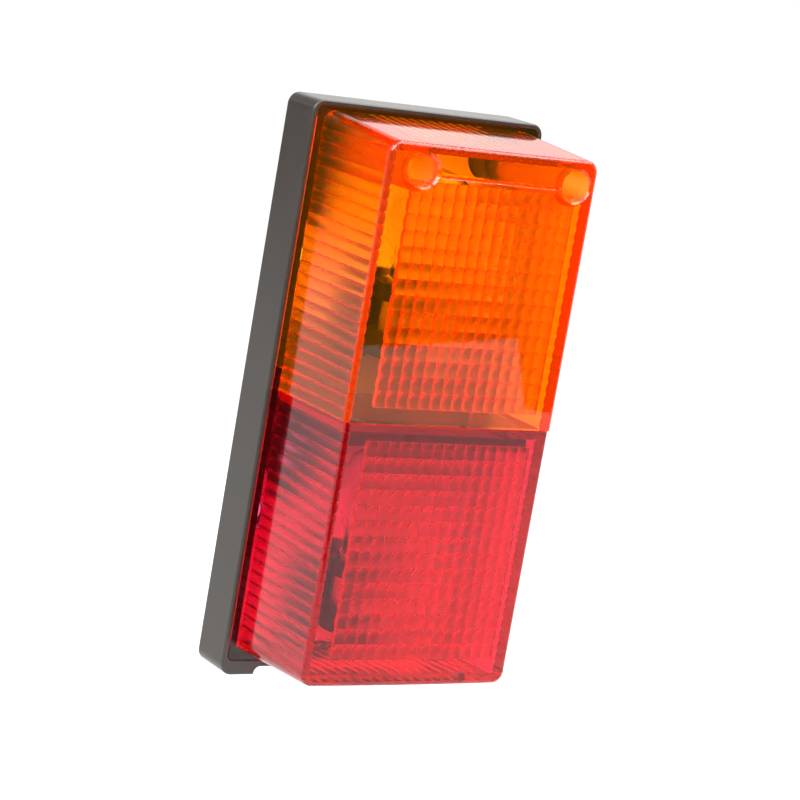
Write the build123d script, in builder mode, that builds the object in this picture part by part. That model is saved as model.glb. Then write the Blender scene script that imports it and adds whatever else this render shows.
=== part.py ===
from build123d import *

import os
from math import floor, hypot

os.makedirs("parts", exist_ok=True)

# Rear lamp cluster with two chambers: an amber lens above a red one, on a black moulded base.
# Millimetres. X runs to the right seen from the front, the lamp faces -Y, and Z is up.
# The origin is the middle of the flat back of the base. A plane offset by d lies d in front of it.

# Base moulding
base_width = 66.0
base_height = 141.0
base_depth = 12.0
base_corner = 3.0
base_edge_round = 0.5
back_wall = 2.5
rim_wall = 1.2
ledge_width = 1.6
sill_height = 3.6
foot_width = 9.2
foot_drop = 2.2
foot_round = 1.8
divider_thickness = 3.6
divider_reach = 27.0
divider_side_gap = 0.5
divider_top_gap = 0.3

# Lens shells
lens_reach = 30.0
crown_radius = 700.0
lens_corner = 3.0
lens_edge_round = 1.3
side_wall = 2.4
end_wall = 2.5
front_wall = 2.8
side_draft = 0.35
top_draft = 2.3
bottom_draft = 1.75
red_step = 0.55
seam_height = 0.7
seam_gap = 0.15
flange_thickness = 2.5
flange_gap = 0.2
flange_side = 1.9
flange_top = 0.6
flange_bottom = 1.8
seal_thickness = 1.0
seal_lip = 1.2
ear_height = 5.5
ear_root = 1.0
hook_width = 4.0
hook_drop = 1.6
hook_thickness = 1.2
hook_gap = 0.25

# Lens optics
optics_offset = 2.0
flute_pitch = 2.8
flute_rise = 0.32
flute_strip = 3.0
pillow_width = 3.06
pillow_height = 3.8
pillow_rise = 0.25
pillow_root = 0.4
pillow_step = 0.4
pillow_columns = 15
pillow_rows = 14
amber_field_top = 57.4
red_field_top = -4.0

# Screws that hold the lens at its top corners
well_spacing = 43.2
well_height = 60.0
well_radius = 3.8
well_wall = 1.4
well_floor = 3.0
screw_radius = 2.0
screw_head_radius = 3.4
screw_head_height = 2.2
screw_length = 9.0
screw_clearance = 0.2
screw_pilot_gap = 0.05
screw_tip_gap = 0.5
screw_slot = 1.0
screw_slot_depth = 1.1
screw_seal_thickness = 0.8
post_rib = 1.6
post_rib_drop = 2.0
post_gap = 0.4

# Bulb holders and bulbs
holder_plate_width = 25.0
holder_plate_height = 22.0
holder_plate_thickness = 2.4
holder_web = 10.0
holder_wall = 1.9
holder_floor = 2.0
cup_height = 6.3
cap_window = 7.5
collar_height = 4.1
amber_holder_share = 0.61
red_holder_share = 0.28
bulb_reach = 15.0
cap_radius = 7.5
cap_gap = 0.25
cap_height = 15.5
cap_wall = 0.5
pin_radius = 1.0
pin_rise = 0.9
pin_gap = 0.2
glass_radius = 11.0
glass_wall = 0.8
glass_height = 28.0
glass_neck = 1.0
glass_neck_depth = 2.5
neck_gap = 0.1
insulator_height = 2.0
contact_height = 0.8
contact_radius = 2.6
contact_pin_radius = 1.2
bush_flange = 0.6
bush_radius = 4.2
bush_sleeve = 0.8
bush_gap = 0.05
contact_tab_width = 6.3
contact_tab_length = 9.0
contact_tab_thickness = 0.8
stem_radius = 0.35
stem_spread = 5.0
filament_radius = 0.5
filament_lift = 15.0
filament_pitch = 3.5
second_filament_drop = 4.0

# Reflectors, rivets, mounting holes and cable entry
reflector_wall = 0.8
reflector_gap = 0.3
reflector_depth = 5.6
lead_notch_width = 13.0
lead_notch_height = 27.0
rivet_radius = 1.5
rivet_gap = 0.1
rivet_head_radius = 2.8
rivet_head_height = 1.1
rivet_spread = 18.0
rivet_recess_gap = 0.3
mount_inset = 7.0
mount_spacing_z = 64.0
mount_hole_radius = 3.3
mount_boss_radius = 5.0
mount_boss_height = 1.8
boss_gap = 0.3
cable_inset = 16.0
cable_z = -16.0
cable_bore_radius = 3.5
cable_hole_radius = 5.5
cable_recess_radius = 8.0
cable_recess_depth = 1.5
cable_boss_radius = 9.0
cable_boss_height = 2.5
grommet_flange = 1.4
grommet_gap = 0.1

# Levels in front of the back face
flange_level = base_depth - flange_thickness
ledge_level = flange_level - seal_thickness
lens_front = base_depth + lens_reach
lens_inside = lens_front - front_wall
reflector_face = back_wall + reflector_wall
holder_face = reflector_face + holder_plate_thickness
screw_seat = flange_level + well_floor
screw_head_level = screw_seat + screw_seal_thickness

# Outlines shared by the base, the seal and the lenses
flange_half = base_width / 2 - rim_wall - flange_gap
flange_high = base_height / 2 - rim_wall - flange_gap
flange_low = -base_height / 2 + sill_height + flange_gap
flange_corner = base_corner - rim_wall - flange_gap
rebate_half = flange_half + flange_gap
rebate_high = flange_high + flange_gap
rebate_low = flange_low - flange_gap
tray_half = rebate_half - ledge_width
tray_high = rebate_high - ledge_width
tray_low = rebate_low + ledge_width
amber_half = flange_half - flange_side
red_half = amber_half - red_step
lens_high = flange_high - flange_top
lens_low = flange_low + flange_bottom
crown_height = crown_radius - (crown_radius**2 - amber_half**2) ** 0.5
lens_run = lens_front + crown_height - flange_level
inside_share = (lens_inside - flange_level) / lens_run
amber_ceiling = lens_high - end_wall - top_draft * inside_share
red_floor = lens_low + end_wall + bottom_draft * inside_share
amber_cavity_half = amber_half - side_draft - side_wall
red_cavity_half = red_half - side_draft - side_wall
ear_high = seam_height + ear_height
red_top = seam_height - seam_gap
red_roof = red_top - end_wall
divider_high = red_roof - divider_top_gap
divider_low = divider_high - divider_thickness
divider_half = red_cavity_half - flute_rise - divider_side_gap
hook_places = [-base_width / 2 + foot_width / 2, base_width / 2 - foot_width / 2]
well_places = [(optics_offset + side * well_spacing / 2, well_height) for side in (-1, 1)]
mount_places = [
    (x * (base_width / 2 - mount_inset), z * mount_spacing_z / 2)
    for x in (-1, 1)
    for z in (-1, 1)
]
corner_notch_left = well_places[1][0] - post_rib / 2 - post_gap
corner_notch_low = well_height - post_rib / 2 - post_gap
pillow_level = pillow_step - lens_inside
cable_x = cable_inset - base_width / 2
holder_total = cup_height + cap_window + collar_height
contact_seat = holder_floor + bush_flange
tab_drop = bush_flange + contact_tab_thickness
bulb_stack = tab_drop + contact_seat + contact_height + cap_height + glass_height
amber_spare = amber_ceiling - seam_height - bulb_stack
red_spare = divider_low - red_floor - bulb_stack
holder_heights = {
    "amber": seam_height + tab_drop + amber_holder_share * amber_spare,
    "red": red_floor + tab_drop + red_holder_share * red_spare,
}
filament_names = {"amber": ["signal"], "red": ["stop", "tail"]}
rivet_places = [
    (optics_offset + side * rivet_spread / 2, height + holder_total / 2)
    for height in holder_heights.values()
    for side in (-1, 1)
]
bulb_axis = Axis((optics_offset, -bulb_reach, 0), (0, 0, 1))


def save(builder, name):
    """Label the finished piece and write it out."""
    builder.part.label = name
    export_step(builder.part, f"parts/{name}.step")


def box_outline(left, right, low, high):
    """Draw a rectangle by its four limits in the current sketch."""
    with Locations(((left + right) / 2, (low + high) / 2)):
        Rectangle(right - left, high - low)


def fluted_outline(half, low, high):
    """Draw a chamber outline whose two sides carry round flutes that swell into the chamber."""
    count = floor((high - low) / flute_pitch)
    step = (high - low) / count
    with BuildLine() as outline:
        for index in range(count):
            foot = low + index * step
            ThreePointArc((-half, foot), (-half + flute_rise, foot + step / 2), (-half, foot + step))
            ThreePointArc((half, foot), (half - flute_rise, foot + step / 2), (half, foot + step))
        Line((-half, high), (half, high))
        Line((-half, low), (half, low))
    make_face(outline.edges())


def fluted_strip(half, side):
    """Draw a strip with one fluted edge on the local X axis, lying on the given side of it."""
    count = floor(2 * half / flute_pitch)
    step = 2 * half / count
    with BuildLine() as outline:
        for index in range(count):
            start = -half + index * step
            ThreePointArc((start, 0), (start + step / 2, side * flute_rise), (start + step, 0))
        Polyline((-half, 0), (-half, side * flute_strip), (half, side * flute_strip), (half, 0))
    make_face(outline.edges())


def bowed_front(low, high):
    """Trim the front of a lens to its slightly bowed face."""
    with BuildSketch(Plane.XY.offset(low)) as trim:
        with Locations((0, -lens_front)):
            Rectangle(base_width, lens_reach)
        with Locations((0, crown_radius - lens_front - crown_height)):
            Circle(crown_radius, mode=Mode.SUBTRACT)
    extrude(trim.sketch, amount=high - low, mode=Mode.SUBTRACT)


def swells(count, pitch):
    """Draw a row of shallow round swells on the local X axis, centred on it, with a root below them."""
    half = count * pitch / 2
    with BuildLine() as outline:
        for index in range(count):
            start = -half + index * pitch
            ThreePointArc((start, 0), (start + pitch / 2, pillow_rise), (start + pitch, 0))
        foot = -pillow_step - pillow_root
        Polyline((-half, 0), (-half, foot), (half, foot), (half, 0))
    make_face(outline.edges())


def glass_profile(inset, top):
    """Draw half of a bulb's outline, shrunk by the inset, with its neck standing in the cap."""
    neck = cap_radius - cap_wall - neck_gap - inset
    radius = glass_radius - inset
    waist = top - glass_height + glass_neck
    belly = top - glass_radius
    foot = top - glass_height - glass_neck_depth
    with BuildLine() as outline:
        Line((0, foot), (neck, foot))
        Line((neck, foot), (neck, waist))
        Bezier((neck, waist), (neck, (waist + belly) / 2), (radius, (waist + belly) / 2), (radius, belly))
        ThreePointArc((radius, belly), (radius * 0.5**0.5, belly + radius * 0.5**0.5), (0, belly + radius))
        Line((0, belly + radius), (0, foot))
    make_face(outline.edges())


# Base: tray with a rim, a ledge for the seal, corner feet, a divider and posts for the lens screws
with BuildPart() as base_housing:
    with BuildSketch(Plane.XZ):
        Rectangle(base_width, base_height)
        fillet(vertices(), base_corner)
    extrude(amount=base_depth)
    fillet(faces().sort_by(Axis.Y)[0].edges(), base_edge_round)
    with BuildSketch(Plane.XZ):
        box_outline(
            -base_width / 2 + foot_width,
            base_width / 2 - foot_width,
            -base_height / 2 - foot_drop,
            -base_height / 2 + foot_drop,
        )
        fillet(vertices(), foot_round)
    extrude(amount=base_depth, mode=Mode.SUBTRACT)
    with BuildSketch(Plane.XZ.offset(ledge_level)):
        box_outline(-rebate_half, rebate_half, rebate_low, rebate_high)
        fillet(vertices(), base_corner - rim_wall)
    extrude(amount=base_depth - ledge_level, mode=Mode.SUBTRACT)
    with BuildSketch(Plane.XZ.offset(back_wall)):
        box_outline(-tray_half, tray_half, tray_low, tray_high)
    extrude(amount=ledge_level - back_wall, mode=Mode.SUBTRACT)
    # Pockets in the feet that take the hooks of the lower lens
    with BuildSketch(Plane.XZ.offset(flange_level - hook_gap)):
        for place in hook_places:
            box_outline(
                place - hook_width / 2 - hook_gap,
                place + hook_width / 2 + hook_gap,
                flange_low - hook_drop - hook_gap,
                flange_low,
            )
    extrude(amount=hook_thickness + 2 * hook_gap, mode=Mode.SUBTRACT)
    # Divider between the two chambers
    with BuildSketch(Plane.XZ.offset(back_wall)):
        box_outline(-tray_half, tray_half, divider_low, divider_high)
    extrude(amount=ledge_level - back_wall)
    with BuildSketch(Plane.XZ.offset(ledge_level)):
        box_outline(-divider_half, divider_half, divider_low, divider_high)
    extrude(amount=flange_level + divider_reach - ledge_level)
    # Screw posts with their ribs
    with BuildSketch(Plane.XZ.offset(back_wall)):
        with Locations(*well_places):
            Circle(well_radius + well_wall)
    extrude(amount=flange_level - back_wall)
    with BuildSketch(Plane.XZ.offset(back_wall)):
        box_outline(-tray_half, well_places[0][0], well_height - post_rib / 2, well_height + post_rib / 2)
        box_outline(well_places[1][0], tray_half, well_height - post_rib / 2, well_height + post_rib / 2)
        for x, z in well_places:
            box_outline(x - post_rib / 2, x + post_rib / 2, z, tray_high)
    extrude(amount=flange_level - post_rib_drop - back_wall)
    with BuildSketch(Plane.XZ.offset(screw_head_level - screw_length - screw_tip_gap)):
        with Locations(*well_places):
            Circle(screw_radius + screw_pilot_gap)
    extrude(amount=base_depth, mode=Mode.SUBTRACT)
    # Bosses of the mounting holes and of the cable entry
    with BuildSketch(Plane.XZ.offset(back_wall)):
        with Locations(*mount_places):
            Circle(mount_boss_radius)
    extrude(amount=mount_boss_height)
    with BuildSketch(Plane.XZ.offset(back_wall)):
        with Locations((cable_x, cable_z)):
            Circle(cable_boss_radius)
    extrude(amount=cable_boss_height)
    with BuildSketch(Plane.XZ):
        with Locations(*mount_places):
            Circle(mount_hole_radius)
        with Locations((cable_x, cable_z)):
            Circle(cable_hole_radius)
        with Locations(*rivet_places):
            Circle(rivet_radius + rivet_gap)
    extrude(amount=base_depth, mode=Mode.SUBTRACT)
    with BuildSketch(Plane.XZ):
        with Locations((cable_x, cable_z)):
            Circle(cable_recess_radius)
    extrude(amount=cable_recess_depth, mode=Mode.SUBTRACT)
    with BuildSketch(Plane.XZ):
        with Locations(*rivet_places):
            Circle(rivet_head_radius + rivet_recess_gap)
    extrude(amount=rivet_head_height + rivet_gap, mode=Mode.SUBTRACT)
save(base_housing, "base_housing")

# Seal: a ring squeezed between the ledge of the base and the flanges of the lenses, with a lip inwards
with BuildPart() as lens_gasket:
    with BuildSketch(Plane.XZ.offset(ledge_level)):
        box_outline(-flange_half, flange_half, flange_low, flange_high)
        fillet(vertices(), flange_corner)
        with Locations((0, (tray_low + tray_high) / 2)):
            Rectangle(2 * (tray_half - seal_lip), tray_high - tray_low - 2 * seal_lip, mode=Mode.SUBTRACT)
        with Locations(*well_places):
            Circle(well_radius + well_wall + post_gap, mode=Mode.SUBTRACT)
    extrude(amount=seal_thickness)
save(lens_gasket, "lens_gasket")

# Field of small pillows on the inside of each lens front: two rows of swells crossed
with BuildPart() as pillow_field:
    with BuildSketch(Plane.XY.offset(-pillow_rows * pillow_height / 2)):
        swells(pillow_columns, pillow_width)
    extrude(amount=pillow_rows * pillow_height)
    crossways = Plane((pillow_columns * pillow_width / 2, 0, 0), x_dir=(0, 0, 1), z_dir=(-1, 0, 0))
    with BuildSketch(crossways):
        swells(pillow_rows, pillow_height)
    extrude(amount=pillow_columns * pillow_width, mode=Mode.INTERSECT)

# Upper lens: bowed amber shell, open towards the red one, with a deep well in each upper corner
with BuildPart() as amber_lens:
    with BuildSketch(Plane.XZ.offset(flange_level)):
        box_outline(-amber_half, amber_half, seam_height, lens_high)
        fillet(vertices().group_by(Axis.Y)[-1], lens_corner)
    with BuildSketch(Plane.XZ.offset(flange_level + lens_run)):
        box_outline(-amber_half + side_draft, amber_half - side_draft, seam_height, lens_high - top_draft)
        fillet(vertices().group_by(Axis.Y)[-1], lens_corner)
    loft()
    bowed_front(seam_height, lens_high)
    front_edges = faces().sort_by(Axis.Y)[0].edges()
    fillet(front_edges.sort_by(Axis.Z)[1:], lens_edge_round)
    with BuildSketch(Plane.XZ.offset(flange_level)):
        box_outline(-flange_half, flange_half, ear_high + flange_gap, flange_high)
        fillet(vertices().group_by(Axis.Y)[-1], flange_corner)
    extrude(amount=flange_thickness)
    with BuildSketch(Plane.XZ.offset(flange_level)):
        fluted_outline(amber_cavity_half, seam_height, amber_ceiling)
    extrude(amount=lens_inside - flange_level, mode=Mode.SUBTRACT)
    top_root = (0, -flange_level, lens_high - end_wall)
    with BuildSketch(Plane(top_root, x_dir=(1, 0, 0), z_dir=(0, -lens_run, -top_draft))):
        fluted_strip(amber_cavity_half - flute_rise, -1)
    extrude(amount=inside_share * hypot(lens_run, top_draft), mode=Mode.SUBTRACT)
    with Locations((optics_offset, pillow_level, amber_field_top - pillow_rows * pillow_height / 2)):
        add(pillow_field.part)
    with BuildSketch(Plane.XZ.offset(flange_level)):
        with Locations(*well_places):
            Circle(well_radius + well_wall)
    extrude(amount=lens_inside + pillow_root - flange_level)
    with BuildSketch(Plane.XZ.offset(screw_seat)):
        with Locations(*well_places):
            Circle(well_radius)
    extrude(amount=lens_reach, mode=Mode.SUBTRACT)
    with BuildSketch(Plane.XZ.offset(flange_level)):
        with Locations(*well_places):
            Circle(screw_radius + screw_clearance)
    extrude(amount=well_floor, mode=Mode.SUBTRACT)
save(amber_lens, "amber_lens")

# Lower lens: red shell closed at its top, with ears beside the amber lens and hooks at its foot
with BuildPart() as red_lens:
    with BuildSketch(Plane.XZ.offset(flange_level)):
        box_outline(-red_half, red_half, lens_low, red_top)
        fillet(vertices().group_by(Axis.Y)[0], lens_corner)
    with BuildSketch(Plane.XZ.offset(flange_level + lens_run)):
        box_outline(-red_half + side_draft, red_half - side_draft, lens_low + bottom_draft, red_top)
        fillet(vertices().group_by(Axis.Y)[0], lens_corner)
    loft()
    bowed_front(lens_low, red_top)
    front_edges = faces().sort_by(Axis.Y)[0].edges()
    fillet(front_edges.sort_by(Axis.Z)[:-1], lens_edge_round)
    with BuildSketch(Plane.XZ.offset(flange_level)):
        box_outline(-flange_half, flange_half, flange_low, red_top)
        fillet(vertices().group_by(Axis.Y)[0], flange_corner)
        box_outline(-flange_half, -amber_half - flange_gap, red_top - ear_root, ear_high)
        box_outline(amber_half + flange_gap, flange_half, red_top - ear_root, ear_high)
    extrude(amount=flange_thickness)
    with BuildSketch(Plane.XZ.offset(flange_level)):
        for place in hook_places:
            box_outline(
                place - hook_width / 2,
                place + hook_width / 2,
                flange_low - hook_drop,
                flange_low + flange_bottom,
            )
    extrude(amount=hook_thickness)
    with BuildSketch(Plane.XZ.offset(flange_level)):
        fluted_outline(red_cavity_half, red_floor, red_roof)
    extrude(amount=lens_inside - flange_level, mode=Mode.SUBTRACT)
    foot_root = (0, -flange_level, lens_low + end_wall)
    with BuildSketch(Plane(foot_root, x_dir=(1, 0, 0), z_dir=(0, -lens_run, bottom_draft))):
        fluted_strip(red_cavity_half - flute_rise, 1)
    extrude(amount=inside_share * hypot(lens_run, bottom_draft), mode=Mode.SUBTRACT)
    with Locations((optics_offset, pillow_level, red_field_top - pillow_rows * pillow_height / 2)):
        add(pillow_field.part)
save(red_lens, "red_lens")

# Screws and their seals at the bottom of the two wells
with BuildPart() as lens_screws:
    with BuildSketch(Plane.XZ.offset(screw_head_level - screw_length)):
        with Locations(*well_places):
            Circle(screw_radius)
    extrude(amount=screw_length)
    with BuildSketch(Plane.XZ.offset(screw_head_level)):
        with Locations(*well_places):
            Circle(screw_head_radius)
    extrude(amount=screw_head_height)
    with BuildSketch(Plane.XZ.offset(screw_head_level + screw_head_height - screw_slot_depth)):
        with Locations(*well_places):
            Rectangle(2 * screw_head_radius, screw_slot)
    extrude(amount=screw_slot_depth, mode=Mode.SUBTRACT)
save(lens_screws, "lens_screws")

with BuildPart() as screw_seals:
    with BuildSketch(Plane.XZ.offset(screw_seat)):
        with Locations(*well_places):
            Circle(screw_head_radius)
            Circle(screw_radius + screw_clearance, mode=Mode.SUBTRACT)
    extrude(amount=screw_seal_thickness)
save(screw_seals, "screw_seals")

# Reflectors: bright pans that line the tray, one in each chamber
reflector_limits = {
    "amber": (divider_high + reflector_gap, tray_high - reflector_gap),
    "red": (tray_low + reflector_gap, divider_low - reflector_gap),
}
for chamber, (low, high) in reflector_limits.items():
    half = tray_half - reflector_gap
    with BuildPart() as reflector:
        with BuildSketch(Plane.XZ.offset(back_wall)):
            box_outline(-half, half, low, high)
        extrude(amount=reflector_depth)
        with BuildSketch(Plane.XZ.offset(reflector_face)):
            box_outline(
                -half + reflector_wall,
                half - reflector_wall,
                low + reflector_wall,
                high - reflector_wall,
            )
        extrude(amount=reflector_depth, mode=Mode.SUBTRACT)
        with BuildSketch(Plane.XZ.offset(back_wall)):
            with Locations(*mount_places):
                Circle(mount_boss_radius + boss_gap)
            with Locations(*rivet_places):
                Circle(rivet_radius + rivet_gap)
            with Locations((cable_x, cable_z)):
                Circle(cable_boss_radius + boss_gap)
            with Locations(*well_places):
                Circle(well_radius + well_wall + post_gap)
            box_outline(-tray_half, lead_notch_width - tray_half, tray_high - lead_notch_height, tray_high)
            box_outline(corner_notch_left, tray_half, corner_notch_low, tray_high)
        extrude(amount=reflector_depth, mode=Mode.SUBTRACT)
    save(reflector, f"{chamber}_reflector")

# One holder with its bushed contact and one upright bayonet bulb in each chamber
for chamber, height in holder_heights.items():
    cap_low = height + contact_seat + contact_height
    cap_high = cap_low + cap_height
    collar_low = height + cup_height + cap_window
    glass_top = cap_high + glass_height
    bore_radius = cap_radius + cap_gap

    with BuildPart() as holder:
        with BuildSketch(Plane.XZ.offset(reflector_face)):
            with Locations((optics_offset, height + holder_total / 2)):
                Rectangle(holder_plate_width, holder_plate_height)
            with Locations(*rivet_places):
                Circle(rivet_radius + rivet_gap, mode=Mode.SUBTRACT)
        extrude(amount=holder_plate_thickness)
        with BuildSketch(Plane.XY.offset(height)):
            box_outline(
                optics_offset - holder_web / 2,
                optics_offset + holder_web / 2,
                -bulb_reach + bore_radius,
                -reflector_face,
            )
        extrude(amount=holder_total)
        with BuildSketch(Plane.XY.offset(height)):
            with Locations((optics_offset, -bulb_reach)):
                Circle(bore_radius + holder_wall)
        extrude(amount=cup_height)
        with BuildSketch(Plane.XY.offset(collar_low)):
            with Locations((optics_offset, -bulb_reach)):
                Circle(bore_radius + holder_wall)
        extrude(amount=collar_height)
        with BuildSketch(Plane.XY.offset(height + holder_floor)):
            with Locations((optics_offset, -bulb_reach)):
                Circle(bore_radius)
        extrude(amount=holder_total, mode=Mode.SUBTRACT)
        with BuildSketch(Plane.XY.offset(collar_low)):
            with Locations((optics_offset, -bulb_reach)):
                Rectangle(2 * (cap_radius + pin_rise + pin_gap), 2 * (pin_radius + pin_gap))
        extrude(amount=collar_height, mode=Mode.SUBTRACT)
        with BuildSketch(Plane.XY.offset(height)):
            with Locations((optics_offset, -bulb_reach)):
                Circle(contact_pin_radius + bush_sleeve + bush_gap)
        extrude(amount=holder_floor, mode=Mode.SUBTRACT)
    save(holder, f"{chamber}_holder")

    with BuildPart() as contact_bush:
        with BuildSketch(Plane.XY.offset(height - bush_flange)):
            with Locations((optics_offset, -bulb_reach)):
                Circle(bush_radius)
        extrude(amount=bush_flange)
        with BuildSketch(Plane.XY.offset(height)):
            with Locations((optics_offset, -bulb_reach)):
                Circle(contact_pin_radius + bush_sleeve)
        extrude(amount=holder_floor)
        with BuildSketch(Plane.XY.offset(height + holder_floor)):
            with Locations((optics_offset, -bulb_reach)):
                Circle(bush_radius)
        extrude(amount=bush_flange)
        with BuildSketch(Plane.XY.offset(height - bush_flange)):
            with Locations((optics_offset, -bulb_reach)):
                Circle(contact_pin_radius + bush_gap)
        extrude(amount=contact_seat + bush_flange, mode=Mode.SUBTRACT)
    save(contact_bush, f"{chamber}_contact_bush")

    with BuildPart() as contact:
        with BuildSketch(Plane.XY.offset(height + contact_seat)):
            with Locations((optics_offset, -bulb_reach)):
                Circle(contact_radius)
        extrude(amount=contact_height)
        with BuildSketch(Plane.XY.offset(height - bush_flange)):
            with Locations((optics_offset, -bulb_reach)):
                Circle(contact_pin_radius)
        extrude(amount=contact_seat + bush_flange)
        with BuildSketch(Plane.XY.offset(height - tab_drop)):
            box_outline(
                optics_offset - contact_tab_width / 2,
                optics_offset + contact_tab_width / 2,
                -bulb_reach - contact_pin_radius,
                -bulb_reach + contact_tab_length,
            )
        extrude(amount=contact_tab_thickness)
    save(contact, f"{chamber}_contact")

    with BuildPart() as bulb_cap:
        with BuildSketch(Plane.XY.offset(cap_low)):
            with Locations((optics_offset, -bulb_reach)):
                Circle(cap_radius)
        extrude(amount=cap_height)
        with BuildSketch(Plane.YZ.offset(optics_offset - cap_radius - pin_rise)):
            with Locations((-bulb_reach, collar_low + collar_height / 2)):
                Circle(pin_radius)
        extrude(amount=2 * (cap_radius + pin_rise))
        with BuildSketch(Plane.XY.offset(cap_low)):
            with Locations((optics_offset, -bulb_reach)):
                Circle(cap_radius - cap_wall)
        extrude(amount=cap_height, mode=Mode.SUBTRACT)
    save(bulb_cap, f"{chamber}_bulb_cap")

    with BuildPart() as bulb_insulator:
        with BuildSketch(Plane.XY.offset(cap_low)):
            with Locations((optics_offset, -bulb_reach)):
                Circle(cap_radius - cap_wall - neck_gap)
        extrude(amount=insulator_height)
    save(bulb_insulator, f"{chamber}_bulb_insulator")

    with BuildPart() as bulb_glass:
        with BuildSketch(Plane.XZ.offset(bulb_reach).move(Location((optics_offset, 0, 0)))):
            glass_profile(0, glass_top)
        revolve(axis=bulb_axis)
        with BuildSketch(Plane.XZ.offset(bulb_reach).move(Location((optics_offset, 0, 0)))):
            glass_profile(glass_wall, glass_top)
        revolve(axis=bulb_axis, mode=Mode.SUBTRACT)
    save(bulb_glass, f"{chamber}_bulb_glass")

    with BuildPart() as bulb_filament:
        for index in range(len(filament_names[chamber])):
            wire_y = -bulb_reach - index * filament_pitch
            wire_low = cap_low + insulator_height
            wire_high = cap_high + filament_lift - index * second_filament_drop
            with BuildSketch(Plane.XY.offset(wire_low)):
                with Locations((optics_offset, wire_y)):
                    with GridLocations(stem_spread, 0, 2, 1):
                        Circle(stem_radius)
            extrude(amount=wire_high - wire_low)
            with BuildSketch(Plane.YZ.offset(optics_offset - stem_spread / 2)):
                with Locations((wire_y, wire_high)):
                    Circle(filament_radius)
            extrude(amount=stem_spread)
    save(bulb_filament, f"{chamber}_bulb_filament")

# Rivets that clamp the holders and the reflectors to the base, with their tails sunk in its back
with BuildPart() as holder_rivets:
    with BuildSketch(Plane.XZ.offset(rivet_gap)):
        with Locations(*rivet_places):
            Circle(rivet_head_radius)
    extrude(amount=rivet_head_height)
    with BuildSketch(Plane.XZ.offset(rivet_gap)):
        with Locations(*rivet_places):
            Circle(rivet_radius)
    extrude(amount=holder_face - rivet_gap)
    with BuildSketch(Plane.XZ.offset(holder_face)):
        with Locations(*rivet_places):
            Circle(rivet_head_radius)
    extrude(amount=rivet_head_height)
save(holder_rivets, "holder_rivets")

# Grommet that lines the cable entry
with BuildPart() as cable_grommet:
    boss_face = back_wall + cable_boss_height
    with BuildSketch(Plane.XZ.offset(cable_recess_depth - grommet_flange)):
        with Locations((cable_x, cable_z)):
            Circle(cable_recess_radius - grommet_gap)
    extrude(amount=grommet_flange)
    with BuildSketch(Plane.XZ.offset(cable_recess_depth)):
        with Locations((cable_x, cable_z)):
            Circle(cable_hole_radius - grommet_gap)
    extrude(amount=boss_face - cable_recess_depth)
    with BuildSketch(Plane.XZ.offset(boss_face)):
        with Locations((cable_x, cable_z)):
            Circle(cable_recess_radius - grommet_gap)
    extrude(amount=grommet_flange)
    with BuildSketch(Plane.XZ):
        with Locations((cable_x, cable_z)):
            Circle(cable_bore_radius)
    extrude(amount=base_depth, mode=Mode.SUBTRACT)
save(cable_grommet, "cable_grommet")
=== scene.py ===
"""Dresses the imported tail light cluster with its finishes, and sets the studio and the camera."""

import logging
import math
from dataclasses import dataclass
from enum import Enum

import bmesh
import bpy
import numpy as np
from mathutils import Matrix, Vector


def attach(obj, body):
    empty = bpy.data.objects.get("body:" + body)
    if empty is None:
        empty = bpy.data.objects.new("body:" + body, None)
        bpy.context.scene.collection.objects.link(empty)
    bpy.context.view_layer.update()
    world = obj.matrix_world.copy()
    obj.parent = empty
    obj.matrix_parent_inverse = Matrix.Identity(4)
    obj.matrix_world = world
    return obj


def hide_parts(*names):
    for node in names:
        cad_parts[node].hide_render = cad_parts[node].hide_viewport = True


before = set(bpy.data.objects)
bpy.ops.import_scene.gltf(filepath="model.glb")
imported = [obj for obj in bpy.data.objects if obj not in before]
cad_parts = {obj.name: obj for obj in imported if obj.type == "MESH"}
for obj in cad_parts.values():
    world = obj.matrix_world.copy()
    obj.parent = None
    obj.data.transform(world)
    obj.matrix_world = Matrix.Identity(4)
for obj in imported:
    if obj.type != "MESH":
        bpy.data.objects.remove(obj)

LOG = logging.getLogger("tail_light")
MM = 0.001
BODY = "root"
SHADING = "shading"
FROST = "frost"
SHARP_ANGLE = math.radians(30.0)
MERGE_GAP = 0.002 * MM
SHORTEST_NORMAL = 1e-9
EDGE_SAMPLES = 4
WHITE = (1.0, 1.0, 1.0, 1.0)

Colour = tuple[float, float, float]
Point = tuple[float, float, float]
Socket = bpy.types.NodeSocket


class Chamber(Enum):
    """The two chambers of the lamp, by the prefix of their nodes."""

    SIGNAL = "amber"
    TAIL = "red"


class Work(Enum):
    """What a tool does to a shell, by Blender's names."""

    JOIN = "UNION"
    CUT = "DIFFERENCE"


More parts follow.
